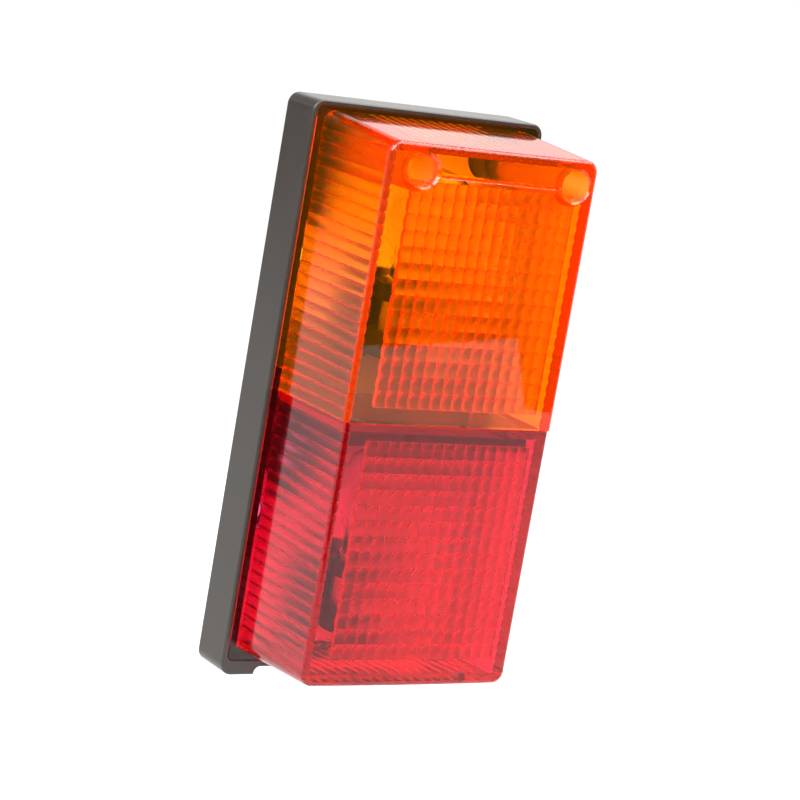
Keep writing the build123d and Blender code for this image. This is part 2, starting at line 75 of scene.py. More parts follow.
class Tree:
    """A node tree with short calls that add nodes and join them."""

    def __init__(self, tree: bpy.types.NodeTree) -> None:
        """Keep the tree that the calls work on."""
        self.tree = tree

    def feed(self, socket: Socket, value: object) -> None:
        """Give an input its value.

        Args:
            socket: the input.
            value: a plain value, or the socket to join the input to.
        """
        if isinstance(value, Socket):
            self.tree.links.new(value, socket)
        else:
            socket.default_value = value

    def add(self, kind: str, inputs: dict | None = None, **settings: object) -> bpy.types.Node:
        """Add one node.

        Args:
            kind: Blender's type name of the node.
            inputs: values of its input sockets, or sockets to join them to, by name or place.
            settings: attributes of the node, such as its operation.

        Returns:
            The new node.
        """
        node = self.tree.nodes.new(kind)
        for key, value in settings.items():
            setattr(node, key, value)
        for key, value in (inputs or {}).items():
            self.feed(node.inputs[key], value)
        return node

    def math(self, operation: str, *values: object, clamp: bool = False) -> Socket:
        """Add a math node.

        Args:
            operation: what it works out.
            values: its inputs, numbers or sockets.
            clamp: whether the result is held between 0 and 1.

        Returns:
            Its result.
        """
        node = self.add("ShaderNodeMath", dict(enumerate(values)), operation=operation, use_clamp=clamp)
        return node.outputs[0]

    def place(self) -> Socket:
        """Give the place on the object, in metres."""
        return self.add("ShaderNodeTexCoord").outputs["Object"]

    def axis(self, name: str) -> Socket:
        """Give the X, Y or Z of the place on the object."""
        return self.add("ShaderNodeSeparateXYZ", {0: self.place()}).outputs[name]

    def noise(self, place: Socket, scale: float | Socket, detail: float, rough: float = 0.5) -> Socket:
        """Add a cloudy pattern.

        Args:
            place: where it is read.
            scale: how many lumps it has in a metre.
            detail: how many finer layers lie on them.
            rough: how strong those layers are.

        Returns:
            The pattern from 0 to 1.
        """
        inputs = {"Vector": place, "Scale": scale, "Detail": detail, "Roughness": rough}
        return self.add("ShaderNodeTexNoise", inputs).outputs["Fac"]

    def spread(self, value: Socket, low: float, high: float) -> Socket:
        """Stretch a mask from 0 to 1 over the given range.

        Args:
            value: the mask.
            low: the result where the mask is 0.
            high: the result where the mask is 1.

        Returns:
            The stretched value.
        """
        node = self.add("ShaderNodeMapRange", {"Value": value, "To Min": low, "To Max": high})
        return node.outputs["Result"]

    def blend(self, mask: Socket, first: Colour | Socket, second: Colour | Socket) -> Socket:
        """Mix two colours by a mask.

        Args:
            mask: 0 for the first colour, 1 for the second.
            first: a colour, or a socket that gives one.
            second: another.

        Returns:
            The mixed colour.
        """
        start, end = (colour if isinstance(colour, Socket) else (*colour, 1.0) for colour in (first, second))
        inputs = {"Factor_Float": mask, "A_Color": start, "B_Color": end}
        node = self.add("ShaderNodeMix", data_type="RGBA")
        for socket in node.inputs:
            if socket.identifier in inputs:
                self.feed(socket, inputs[socket.identifier])
        return next(socket for socket in node.outputs if socket.identifier == "Result_Color")


def new_group(name: str, inputs: dict[str, float], outputs: list[str]) -> tuple[Tree, bpy.types.Node]:
    """Start a shader node group.

    Args:
        name: the group's name.
        inputs: its number inputs with their defaults.
        outputs: its number outputs.

    Returns:
        The group's tree and its input node.
    """
    group = bpy.data.node_groups.new(name, "ShaderNodeTree")
    for key, value in inputs.items():
        group.interface.new_socket(key, in_out="INPUT", socket_type="NodeSocketFloat").default_value = value
    for key in outputs:
        group.interface.new_socket(key, in_out="OUTPUT", socket_type="NodeSocketFloat")
    tree = Tree(group)
    return tree, tree.add("NodeGroupInput")


def grain_group() -> bpy.types.NodeTree:
    """Build the moulded grain: a fine height and a broad tone, both from 0 to 1.

    Returns:
        The node group.
    """
    tree, given = new_group("moulded_grain", {"Fine": 2200.0, "Broad": 60.0}, ["Height", "Tone"])
    place = tree.place()
    fine = tree.noise(place, given.outputs["Fine"], detail=3.0, rough=0.6)
    broad = tree.noise(place, given.outputs["Broad"], detail=4.0, rough=0.55)
    tree.add("NodeGroupOutput", {"Height": fine, "Tone": broad})
    return tree.tree


def hairline_group() -> bpy.types.NodeTree:
    """Build the hairlines of drawn and turned metal, which run across the upright axis, and a cloudy tone.

    Returns:
        The node group.
    """
    sizes = {"Fine": 900.0, "Stretch": 12.0, "Cloud": 160.0}
    tree, given = new_group("metal_hairlines", sizes, ["Height", "Tone"])
    place = tree.place()
    scale = tree.add("ShaderNodeCombineXYZ", {"X": 1.0, "Y": 1.0, "Z": given.outputs["Stretch"]})
    drawn = tree.add("ShaderNodeVectorMath", {0: place, 1: scale.outputs[0]}, operation="MULTIPLY")
    lines = tree.noise(drawn.outputs[0], given.outputs["Fine"], detail=2.0)
    cloud = tree.noise(place, given.outputs["Cloud"], detail=4.0)
    tree.add("NodeGroupOutput", {"Height": lines, "Tone": cloud})
    return tree.tree


def dust_group() -> bpy.types.NodeTree:
    """Build the thin dust that lies on faces that look up.

    Returns:
        The node group.
    """
    tree, given = new_group("settled_dust", {"Amount": 0.2, "Patch": 300.0, "Steepest": 0.2}, ["Mask"])
    normal = tree.add("ShaderNodeNewGeometry").outputs["Normal"]
    up = tree.add("ShaderNodeSeparateXYZ", {0: normal}).outputs["Z"]
    span = {"Value": up, "From Min": given.outputs["Steepest"], "From Max": 1.0}
    level = tree.add("ShaderNodeMapRange", span).outputs["Result"]
    cloud = tree.noise(tree.place(), given.outputs["Patch"], detail=5.0, rough=0.7)
    lying = tree.math("MULTIPLY", level, cloud)
    tree.add("NodeGroupOutput", {"Mask": tree.math("MULTIPLY", lying, given.outputs["Amount"])})
    return tree.tree


def plain_mesh(thing: bpy.types.Object, name: str) -> bpy.types.Mesh:
    """Turn an object with modifiers into a plain mesh.

    Args:
        thing: the object.
        name: the mesh's name.

    Returns:
        The mesh.
    """
    bpy.context.view_layer.update()
    depsgraph = bpy.context.evaluated_depsgraph_get()
    mesh = bpy.data.meshes.new_from_object(thing.evaluated_get(depsgraph), depsgraph=depsgraph)
    mesh.name = name
    return mesh


def keep_normals(mesh: bpy.types.Mesh, side: float = 1.0) -> None:
    """Write the shading normals of a mesh to its corners, so that they outlive a cut or a join.

    Args:
        mesh: the mesh.
        side: 1 for a solid, -1 for a cutter, whose faces turn round in the cut.
    """
    vectors = np.empty(len(mesh.loops) * 3, dtype=np.float32)
    mesh.corner_normals.foreach_get("vector", vectors)
    mesh.attributes.new(SHADING, "FLOAT_VECTOR", "CORNER").data.foreach_set("vector", vectors * side)


def shade_tool(mesh: bpy.types.Mesh, side: float = 1.0) -> None:
    """Shade a mesh smooth between its sharp edges and keep its normals.

    Args:
        mesh: the mesh.
        side: 1 for a solid, -1 for a cutter.
    """
    mesh.shade_smooth()
    mesh.set_sharp_from_angle(angle=SHARP_ANGLE)
    keep_normals(mesh, side)


def restore_normals(mesh: bpy.types.Mesh) -> None:
    """Shade a mesh by the normals that were written to its corners.

    Args:
        mesh: the mesh.
    """
    vectors = np.empty(len(mesh.loops) * 3, dtype=np.float32)
    mesh.attributes[SHADING].data.foreach_get("vector", vectors)
    vectors = vectors.reshape(-1, 3)
    vectors /= np.maximum(np.linalg.norm(vectors, axis=1, keepdims=True), SHORTEST_NORMAL)
    mesh.shade_smooth()
    mesh.normals_split_custom_set(vectors.tolist())
    mesh.attributes.remove(mesh.attributes[SHADING])


@dataclass
class PillowField:
    """The field of small pillows inside a lens front, laid out by Geometry Nodes."""

    name: str
    centre: Point
    columns: int = 15
    rows: int = 14
    cuts: int = 6
    width: float = 3.067 * MM
    height: float = 3.807 * MM
    swell_across: float = 0.3 * MM
    swell_up: float = 0.5 * MM
    step: float = 0.67 * MM
    root: float = 0.3 * MM

    def tree(self) -> bpy.types.NodeTree:
        """Build the node tree: a fine slab whose inner face swells in every cell.

        Returns:
            The tree.
        """
        group = bpy.data.node_groups.new(self.name, "GeometryNodeTree")
        for key in ("Columns", "Rows", "Cuts"):
            group.interface.new_socket(key, in_out="INPUT", socket_type="NodeSocketInt")
        for key in ("Width", "Height", "Swell Across", "Swell Up", "Step", "Root"):
            group.interface.new_socket(key, in_out="INPUT", socket_type="NodeSocketFloat")
        group.interface.new_socket("Centre", in_out="INPUT", socket_type="NodeSocketVector")
        group.interface.new_socket("Material", in_out="INPUT", socket_type="NodeSocketMaterial")
        group.interface.new_socket("Geometry", in_out="OUTPUT", socket_type="NodeSocketGeometry")
        tree = Tree(group)
        given = tree.add("NodeGroupInput").outputs
        size = tree.add(
            "ShaderNodeCombineXYZ",
            {
                "X": tree.math("MULTIPLY", given["Columns"], given["Width"]),
                "Y": tree.math("ADD", given["Step"], given["Root"]),
                "Z": tree.math("MULTIPLY", given["Rows"], given["Height"]),
            },
        )
        slab = tree.add(
            "GeometryNodeMeshCube",
            {
                "Size": size.outputs[0],
                "Vertices X": tree.math("MULTIPLY_ADD", given["Columns"], given["Cuts"], 1.0),
                "Vertices Y": 2,
                "Vertices Z": tree.math("MULTIPLY_ADD", given["Rows"], given["Cuts"], 1.0),
            },
        )
        place = tree.add("ShaderNodeSeparateXYZ", {0: tree.add("GeometryNodeInputPosition").outputs[0]}).outputs
        level = given["Step"]
        for axis, pitch, count, rise in (
            ("X", "Width", "Columns", "Swell Across"),
            ("Z", "Height", "Rows", "Swell Up"),
        ):
            cell = tree.math("DIVIDE", place[axis], given[pitch])
            cell = tree.math("MULTIPLY_ADD", given[count], 0.5, cell)
            across = tree.math("MULTIPLY_ADD", tree.math("FRACT", cell), 2.0, -1.0)
            dome = tree.math("SUBTRACT", 1.0, tree.math("MULTIPLY", across, across))
            level = tree.math("MULTIPLY_ADD", dome, given[rise], level)
        inner = tree.math("GREATER_THAN", place["Y"], 0.0)
        depth = tree.math("MULTIPLY", tree.math("SUBTRACT", 1.0, inner), given["Root"])
        depth = tree.math("SUBTRACT", tree.math("MULTIPLY", inner, level), depth)
        moved = tree.add("ShaderNodeCombineXYZ", {"X": place["X"], "Y": depth, "Z": place["Z"]})
        swollen = tree.add(
            "GeometryNodeSetPosition",
            {"Geometry": slab.outputs["Mesh"], "Position": moved.outputs[0]},
        )
        placed = tree.add(
            "GeometryNodeTransform",
            {"Geometry": swollen.outputs[0], "Translation": given["Centre"]},
        )
        real = tree.add("GeometryNodeRealizeInstances", {"Geometry": placed.outputs[0]})
        dressed = tree.add("GeometryNodeSetMaterial", {"Geometry": real.outputs[0], "Material": given["Material"]})
        tree.add("NodeGroupOutput", {"Geometry": dressed.outputs[0]})
        return group

    def build(self, material: bpy.types.Material) -> bpy.types.Object:
        """Make the field as a closed solid.

        Args:
            material: its material.

        Returns:
            An object that isn't a finished piece yet.
        """
        group = self.tree()
        maker = bpy.data.objects.new(self.name, bpy.data.meshes.new(self.name))
        bpy.context.scene.collection.objects.link(maker)
        modifier = maker.modifiers.new("pillows", "NODES")
        modifier.node_group = group
        values = {
            "Columns": self.columns,
            "Rows": self.rows,
            "Cuts": self.cuts,
            "Width": self.width,
            "Height": self.height,
            "Swell Across": self.swell_across,
            "Swell Up": self.swell_up,
            "Step": self.step,
            "Root": self.root,
            "Centre": self.centre,
            "Material": material,
        }
        for item in group.interface.items_tree:
            if item.in_out == "INPUT":
                modifier[item.identifier] = values[item.name]
        mesh = plain_mesh(maker, self.name)
        maker.modifiers.clear()
        maker.data = mesh
        shade_tool(mesh)
        return maker


class Effects:
    """The shared shader groups, each built once."""

    def __init__(self) -> None:
        """Build the groups."""
        self.grain = grain_group()
        self.hairlines = hairline_group()
        self.dust = dust_group()


class Surface(Tree):
    """The tree of one new material, with its principled shader and output."""

    def __init__(self, name: str) -> None:
        """Make the material.

        Args:
            name: the material's name.
        """
        self.material = bpy.data.materials.new(name)
        self.material.use_nodes = True
        super().__init__(self.material.node_tree)
        self.shader = self.tree.nodes["Principled BSDF"]
        self.output = self.tree.nodes["Material Output"]

    def group(self, tree: bpy.types.NodeTree, **values: float) -> bpy.types.Node:
        """Place a shared group.

        Args:
            tree: the group.
            values: its inputs by name.

        Returns:
            The group's node.
        """
        return self.add("ShaderNodeGroup", values, node_tree=tree)

    def set(self, **values: object) -> None:
        """Set or join inputs of the principled shader, their names written with underscores."""
        for key, value in values.items():
            self.feed(self.shader.inputs[key.replace("_", " ")], value)

    def bump(self, height: Socket, depth: float, edge: float = 0.0) -> None:
        """Give the shader a relief, and rounded edges where asked.

        Args:
            height: the relief from 0 to 1.
            depth: its depth in metres.
            edge: radius of the rounded edges in metres, 0 for none.
        """
        relief = self.add("ShaderNodeBump", {"Height": height, "Distance": depth, "Strength": 1.0})
        if edge > 0.0:
            rounded = self.add("ShaderNodeBevel", {"Radius": edge}, samples=EDGE_SAMPLES)
            self.feed(relief.inputs["Normal"], rounded.outputs["Normal"])
        self.set(Normal=relief.outputs["Normal"])


@dataclass(frozen=True)
class MouldedPlastic:
    """An opaque moulding with a fine grain, soft mottling and rounded edges."""

    name: str
    dark: Colour
    light: Colour
    rough: tuple[float, float]
    depth: float = 0.01 * MM
    edge: float = 0.3 * MM
    dust: float = 0.1
    dust_tone: Colour = (0.6, 0.58, 0.54)

    def build(self, effects: Effects) -> bpy.types.Material:
        """Make the material.

        Args:
            effects: the shared shader groups.

        Returns:
            The material.
        """
        surface = Surface(self.name)
        grain = surface.group(effects.grain)
        dust = surface.group(effects.dust, Amount=self.dust)
        tone = self.tone(surface, grain.outputs["Tone"])
        surface.set(
            Base_Color=surface.blend(dust.outputs["Mask"], tone, self.dust_tone),
            Roughness=surface.spread(grain.outputs["Tone"], *self.rough),
        )
        surface.bump(grain.outputs["Height"], self.depth, self.edge)
        return surface.material

    def tone(self, surface: Surface, grain: Socket) -> Socket:
        """Blend the two tones by the grain.

        Args:
            surface: the material's tree.
            grain: the grain from 0 to 1.

        Returns:
            The colour.
        """
        return surface.blend(grain, self.dark, self.light)


@dataclass(frozen=True)
class TrayPlastic(MouldedPlastic):
    """The black moulding of the tray, with the bosses of its mounting holes sprayed white inside."""

    boss_across: float = 26.0 * MM
    boss_up: float = 32.0 * MM
    boss_radius: float = 5.2 * MM
    boss_level: float = -2.3 * MM
    paint: Colour = (0.86, 0.86, 0.84)

    def tone(self, surface: Surface, grain: Socket) -> Socket:
        """Blend the two tones by the grain, with white paint on the bosses.

        Args:
            surface: the material's tree.
            grain: the grain from 0 to 1.

        Returns:
            The colour.
        """
        across = surface.math("SUBTRACT", surface.math("ABSOLUTE", surface.axis("X")), self.boss_across)
        upward = surface.math("SUBTRACT", surface.math("ABSOLUTE", surface.axis("Z")), self.boss_up)
        square = surface.math("MULTIPLY_ADD", across, across, surface.math("MULTIPLY", upward, upward))
        near = surface.math("LESS_THAN", surface.math("SQRT", square), self.boss_radius)
        inside = surface.math("LESS_THAN", surface.axis("Y"), self.boss_level)
        mask = surface.math("MULTIPLY", near, inside)
        return surface.blend(mask, super().tone(surface, grain), self.paint)


@dataclass(frozen=True)
class SprayedPlasticWithPaintedShade(MouldedPlastic):
    """A black moulding sprayed white, with painted shade: the zone about the wall between the chambers is left dark,
    standing in for the shade there.
    """

    shade_middle: float = 2.0 * MM
    shade_half: float = 12.0 * MM
    fade: float = 9.0 * MM
    painted_shade: Colour = (0.2, 0.19, 0.18)

    def tone(self, surface: Surface, grain: Socket) -> Socket:
        """Blend the two tones by the grain, and paint shade dark over the zone about the wall between the chambers.

        Args:
            surface: the material's tree.
            grain: the grain from 0 to 1.

        Returns:
            The colour.
        """
        # Painted shade: dark near the wall between the chambers, fading to the white spray further away.
        away = surface.math("SUBTRACT", surface.axis("Z"), self.shade_middle)
        past = surface.math("SUBTRACT", surface.math("ABSOLUTE", away), self.shade_half)
        mask = surface.math("DIVIDE", past, self.fade, clamp=True)
        return surface.blend(mask, self.painted_shade, super().tone(surface, grain))


@dataclass(frozen=True)
class TintedAcrylic:
    """A clear moulding that takes its colour from its thickness, and whose volume glows with painted light, standing in
    for light gathered inside the lens.
    """

    name: str
    tint: Colour
    density: float
    glow: Colour
    rough: tuple[float, float] = (0.0, 0.04)
    ior: float = 1.49
    wave: float = 0.004 * MM
    ripples: float = 220.0
    clouds: float = 90.0
    frost_rough: float = 0.7

    def build(self, effects: Effects) -> bpy.types.Material:
        """Make the material.

        Args:
            effects: the shared shader groups.

        Returns:
            The material.
        """
        surface = Surface(self.name)
        grain = surface.group(effects.grain, Fine=self.ripples, Broad=self.clouds)
        frost = surface.add("ShaderNodeAttribute", attribute_name=FROST)
        polish = surface.spread(grain.outputs["Tone"], *self.rough)
        surface.set(
            Base_Color=WHITE,
            IOR=self.ior,
            Transmission_Weight=1.0,
            Roughness=surface.math("MULTIPLY_ADD", frost.outputs["Fac"], self.frost_rough, polish),
        )
        surface.bump(grain.outputs["Height"], self.wave)
        depth = surface.add("ShaderNodeVolumeAbsorption", {"Color": (*self.tint, 1.0), "Density": self.density})
        # Painted light: the acrylic glows from within though the bulbs are not lit.
        glow = surface.add("ShaderNodeEmission", {"Color": (*self.glow, 1.0), "Strength": 1.0})
        both = surface.add("ShaderNodeAddShader", {0: depth.outputs["Volume"], 1: glow.outputs["Emission"]})
        surface.feed(surface.output.inputs["Volume"], both.outputs[0])
        return surface.material


@dataclass(frozen=True)
class BlownGlass:
    """Clear bulb glass with a faint wave."""

    name: str
    tint: Colour = (0.98, 0.99, 1.0)
    rough: tuple[float, float] = (0.0, 0.03)
    ior: float = 1.5
    wave: float = 0.02 * MM
    ripples: float = 120.0
    clouds: float = 200.0

    def build(self, effects: Effects) -> bpy.types.Material:
        """Make the material.

        Args:
            effects: the shared shader groups.

        Returns:
            The material.
        """
        surface = Surface(self.name)
        grain = surface.group(effects.grain, Fine=self.ripples, Broad=self.clouds)
        surface.set(
            Base_Color=(*self.tint, 1.0),
            IOR=self.ior,
            Transmission_Weight=1.0,
            Roughness=surface.spread(grain.outputs["Tone"], *self.rough),
        )
        surface.bump(grain.outputs["Height"], self.wave)
        return surface.material


@dataclass(frozen=True)
class DrawnMetal:
    """Metal with hairlines and a slightly clouded tone."""

    name: str
    dark: Colour
    light: Colour
    rough: tuple[float, float]
    depth: float = 0.006 * MM
    edge: float = 0.1 * MM

    def build(self, effects: Effects) -> bpy.types.Material:
        """Make the material.

        Args:
            effects: the shared shader groups.

        Returns:
            The material.
        """
        surface = Surface(self.name)
        lines = surface.group(effects.hairlines)
        surface.set(
            Base_Color=self.tone(surface, lines.outputs["Tone"]),
            Metallic=1.0,
            Roughness=surface.spread(lines.outputs["Tone"], *self.rough),
        )
        surface.bump(lines.outputs["Height"], self.depth, self.edge)
        return surface.material

    def tone(self, surface: Surface, lines: Socket) -> Socket:
        """Blend the two tones by the hairlines.

        Args:
            surface: the material's tree.
            lines: the hairlines from 0 to 1.

        Returns:
            The colour.
        """
        return surface.blend(lines, self.dark, self.light)


@dataclass(frozen=True)
class MetalWithPaintedShade(DrawnMetal):
    """Drawn metal with painted shade: black on its left, the side that lies in shade, and plain metal on its right."""

    shade_tone: Colour = (0.03, 0.029, 0.028)
    shade_edge: float = -3.0 * MM
    fade: float = 3.0 * MM

    def tone(self, surface: Surface, lines: Socket) -> Socket:
        """Blend the two tones by the hairlines, with painted shade on the left.

        Args:
            surface: the material's tree.
            lines: the hairlines from 0 to 1.

        Returns:
            The colour.
        """
        # Painted shade: the left side is dark, fading to plain metal towards the right.
        past = surface.math("SUBTRACT", surface.axis("X"), self.shade_edge)
        mask = surface.math("DIVIDE", past, self.fade, clamp=True)
        return surface.blend(mask, self.shade_tone, super().tone(surface, lines))


class Finish(Enum):
    """The finishes of the lamp."""

    HOUSING = TrayPlastic("housing_black", (0.022, 0.017, 0.013), (0.034, 0.027, 0.022), rough=(0.24, 0.34))
    FIBRE = MouldedPlastic("fibre_bush", (0.2, 0.08, 0.035), (0.3, 0.13, 0.06), rough=(0.55, 0.75), dust=0.0)
    # The reflectors carry painted shade about the wall between the chambers.
    REFLECTOR = SprayedPlasticWithPaintedShade("reflector_white", (0.86, 0.86, 0.84), (0.93, 0.93, 0.91), rough=(0.25, 0.4))
    RUBBER = MouldedPlastic("seal_rubber", (0.012, 0.012, 0.012), (0.025, 0.025, 0.024), rough=(0.65, 0.85))
    BLACK_GLASS = MouldedPlastic("cap_insulator", (0.01, 0.01, 0.012), (0.02, 0.018, 0.024), rough=(0.1, 0.2), dust=0.0)
    # The glow of each lens is painted light.
    AMBER = TintedAcrylic("amber_acrylic", (0.997, 0.822, 0.0), density=1300.0, glow=(16.0, 9.0, 0.3))
    RED = TintedAcrylic("red_acrylic", (0.978, 0.0, 0.42), density=850.0, glow=(8.0, 1.2, 1.2))
    BULB = BlownGlass("bulb_glass")
    STEEL = DrawnMetal("plated_steel", (0.5, 0.5, 0.48), (0.66, 0.65, 0.6), rough=(0.25, 0.4))
    # The holders wear painted shade on their left side.
    BLACKENED = MetalWithPaintedShade("blackened_steel", (0.45, 0.44, 0.42), (0.6, 0.58, 0.54), rough=(0.35, 0.5))
    BRASS = DrawnMetal("contact_brass", (0.62, 0.42, 0.16), (0.76, 0.56, 0.26), rough=(0.25, 0.4))
    CAP = DrawnMetal("cap_brass", (0.7, 0.62, 0.48), (0.84, 0.77, 0.64), rough=(0.35, 0.5))
    TUNGSTEN = DrawnMetal("filament_wire", (0.28, 0.28, 0.29), (0.4, 0.4, 0.4), rough=(0.3, 0.45))


class Wardrobe:
    """Builds each finish when it is first asked for."""

    def __init__(self) -> None:
        """Build the shared groups."""
        self.effects = Effects()
        self.made: dict[Finish, bpy.types.Material] = {}

    def material(self, finish: Finish) -> bpy.types.Material:
        """Give the material of a finish.

        Args:
            finish: the finish.

        Returns:
            Its material.
        """
        if finish not in self.made:
            self.made[finish] = finish.value.build(self.effects)
        return self.made[finish]

    def dress(self, node: str, finish: Finish) -> None:
        """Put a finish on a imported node.

        Args:
            node: the node's name.
            finish: the finish.
        """
        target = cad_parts[node]
        target.data.materials.clear()
        target.data.materials.append(self.material(finish))
        LOG.info("dressed %s in %s", node, finish.value.name)


@dataclass
class Housing:
    """The black base with its seals, rivets and cable entry."""

    def dress(self, wardrobe: Wardrobe) -> None:
        """Put the finishes on the base and on what is fixed in it.

        Args:
            wardrobe: the finishes.
        """
        wardrobe.dress("base_housing", Finish.HOUSING)
        wardrobe.dress("lens_gasket", Finish.RUBBER)
        wardrobe.dress("cable_grommet", Finish.RUBBER)
        wardrobe.dress("holder_rivets", Finish.STEEL)


@dataclass
class WellBorder:
    """The shallow groove between the screw wells and the pillows, and the chamfered mouths of the wells."""

    wells: tuple[float, ...]
    well_height: float
    groove_ends: tuple[float, float] = (-14.8 * MM, 18.9 * MM)
    groove_height: float = 58.7 * MM
    groove_depths: tuple[float, float] = (1.2 * MM, 0.6 * MM)
    mouth: float = 3.8 * MM
    chamfer: float = 0.5 * MM
    overlap: float = 0.1 * MM
    sides: int = 48
    stations: int = 12

    def face(self, shell: bpy.types.Object, x: float, z: float) -> Vector:
        """Find the point of the lens front that lies before a place.

        Args:
            shell: the lens.
            x: the place across.
            z: the place up.

        Returns:
            The point.
        """
        return shell.ray_cast(Vector((x, -1.0, z)), Vector((0.0, 1.0, 0.0)))[1]

    def rod(self, solid: bmesh.types.BMesh, start: Vector, end: Vector, radii: tuple[float, float]) -> None:
        """Add a round rod or cone to a mesh.

        Args:
            solid: the mesh.
            start: the middle of its first end.
            end: the middle of its other end.
            radii: the radius at each end.
        """
        along = end - start
        turn = along.to_track_quat("Z", "Y").to_matrix().to_4x4()
        bmesh.ops.create_cone(
            solid,
            cap_ends=True,
            segments=self.sides,
            radius1=radii[0],
            radius2=radii[1],
            depth=along.length,
            matrix=Matrix.Translation((start + end) / 2) @ turn,
        )

    def groove(self, solid: bmesh.types.BMesh, shell: bpy.types.Object) -> None:
        """Add the groove's three-sided bar, which follows the bow of the lens front.

        Args:
            solid: the mesh.
            shell: the lens.
        """
        out = self.overlap
        rings = []
        places = np.linspace(*self.groove_ends, self.stations)
        depths = np.linspace(*self.groove_depths, self.stations)
        for x, depth in zip(places, depths):
            corners = ((-out, -out), (depth, depth), (-out, depth + out))
            foot = self.face(shell, x, self.groove_height)
            rings.append([solid.verts.new(foot + Vector((0.0, back, up))) for back, up in corners])
        solid.faces.new(rings[0])
        solid.faces.new(rings[-1])
        for first, last in zip(rings, rings[1:]):
            for index in range(len(first)):
                after = (index + 1) % len(first)
                solid.faces.new((first[after], first[index], last[index], last[after]))
        bmesh.ops.recalc_face_normals(solid, faces=solid.faces)

    def build(self, shell: bpy.types.Object) -> bpy.types.Object:
        """Make the cutter.

        Args:
            shell: the lens that it cuts.

        Returns:
            An object that isn't a finished piece.
        """
        solid = bmesh.new()
        self.groove(solid, shell)
        edge = self.mouth + self.chamfer
        for well in self.wells:
            rim = self.face(shell, well, self.well_height - edge)
            front = Vector((well, rim.y - self.overlap, self.well_height))
            back = Vector((well, rim.y + self.chamfer + self.overlap, self.well_height))
            self.rod(solid, front, back, (edge + self.overlap, self.mouth - self.overlap))
        mesh = bpy.data.meshes.new("well_border")
        solid.to_mesh(mesh)
        solid.free()
        shade_tool(mesh, -1.0)
        cutter = bpy.data.objects.new("well_border", mesh)
        bpy.context.scene.collection.objects.link(cutter)
        return cutter


@dataclass
class Lens:
    """One lens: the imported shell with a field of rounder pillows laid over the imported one.

    The frost values say how dull the mould leaves the wells, the left and the right flutes, and the pillows. These
    faces are found by their place behind the front skin and by how far they turn from the front.
    """

    chamber: Chamber
    field_top: float
    inner_face: float = -39.2 * MM
    middle: float = 2.0 * MM
    wells: tuple[float, ...] = (-19.6 * MM, 23.6 * MM)
    well_height: float = 60.0 * MM
    well_inner: float = 3.6 * MM
    well_outer: float = 5.4 * MM
    wall_inner: float = 28.0 * MM
    flute_root: float = 25.6 * MM
    skin: float = 1.5 * MM
    pillow_levels: tuple[float, float] = (0.3 * MM, 2.0 * MM)
    half_turned: float = 0.5
    well_frost: float = 1.0
    flute_frost: tuple[float, float] = (0.4, 0.6)
    pillow_frost: float = 0.6

    def build(self, wardrobe: Wardrobe) -> None:
        """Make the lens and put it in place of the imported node.

        Args:
            wardrobe: the finishes.
        """
        node = f"{self.chamber.value}_lens"
        finish = Finish.AMBER if self.chamber is Chamber.SIGNAL else Finish.RED
        material = wardrobe.material(finish)
        field_middle = self.field_top - PillowField.rows * PillowField.height / 2
        field = PillowField(f"{node}_pillows", (self.middle, self.inner_face, field_middle))
        tools = [field.build(material)]
        shell = self.shell(node)
        self.use(shell, tools[0], Work.JOIN)
        if self.chamber is Chamber.SIGNAL:
            tools.append(WellBorder(self.wells, self.well_height).build(shell))
            self.use(shell, tools[-1], Work.CUT)
        mesh = plain_mesh(shell, f"{node}_shell")
        shell.modifiers.clear()
        for tool in tools:
            bpy.data.objects.remove(tool)
        mesh.materials.clear()
        mesh.materials.append(material)
        restore_normals(mesh)
        self.frost(mesh)
        shell.data = mesh
        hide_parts(node)
        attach(shell, BODY)
        LOG.info("built %s with %d faces", shell.name, len(mesh.polygons))

    def use(self, shell: bpy.types.Object, tool: bpy.types.Object, work: Work) -> None:
        """Set a tool to join or cut the shell.

        Args:
            shell: the shell.
            tool: the closed solid that works on it.
            work: what it does.
        """
        step = shell.modifiers.new(work.name.lower(), "BOOLEAN")
        step.operation = work.value
        step.solver = "MANIFOLD"
        step.object = tool

    def shell(self, node: str) -> bpy.types.Object:
        """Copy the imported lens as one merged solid.

        Args:
            node: the node's name.

        Returns:
            The copy.
        """
        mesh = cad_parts[node].data.copy()
        keep_normals(mesh)
        solid = bmesh.new()
        solid.from_mesh(mesh)
        bmesh.ops.remove_doubles(solid, verts=solid.verts, dist=MERGE_GAP)
        open_edges = sum(1 for edge in solid.edges if not edge.is_manifold)
        LOG.info("merged %s, open edges %d", node, open_edges)
        solid.to_mesh(mesh)
        solid.free()
        shell = bpy.data.objects.new(f"{node}_shell", mesh)
        bpy.context.scene.collection.objects.link(shell)
        return shell

    def frost(self, mesh: bpy.types.Mesh) -> None:
        """Mark the faces that the mould leaves less polished: the screw wells, the flutes and the pillows.

        Args:
            mesh: the lens.
        """
        marks = []
        low, high = (self.inner_face + level for level in self.pillow_levels)
        for face in mesh.polygons:
            x, y, z = face.center
            mark = 0.0
            if y > self.inner_face - self.skin:
                reach = min(math.hypot(x - well, z - self.well_height) for well in self.wells)
                if self.well_inner < reach < self.well_outer:
                    mark = self.well_frost
                elif self.flute_root < abs(x) < self.wall_inner and abs(face.normal.y) < self.half_turned:
                    mark = self.flute_frost[0 if x < 0.0 else 1]
                elif low < y < high and face.normal.y > self.half_turned:
                    mark = self.pillow_frost
            marks.append(mark)
        mesh.attributes.new(FROST, "FLOAT", "FACE").data.foreach_set("value", marks)


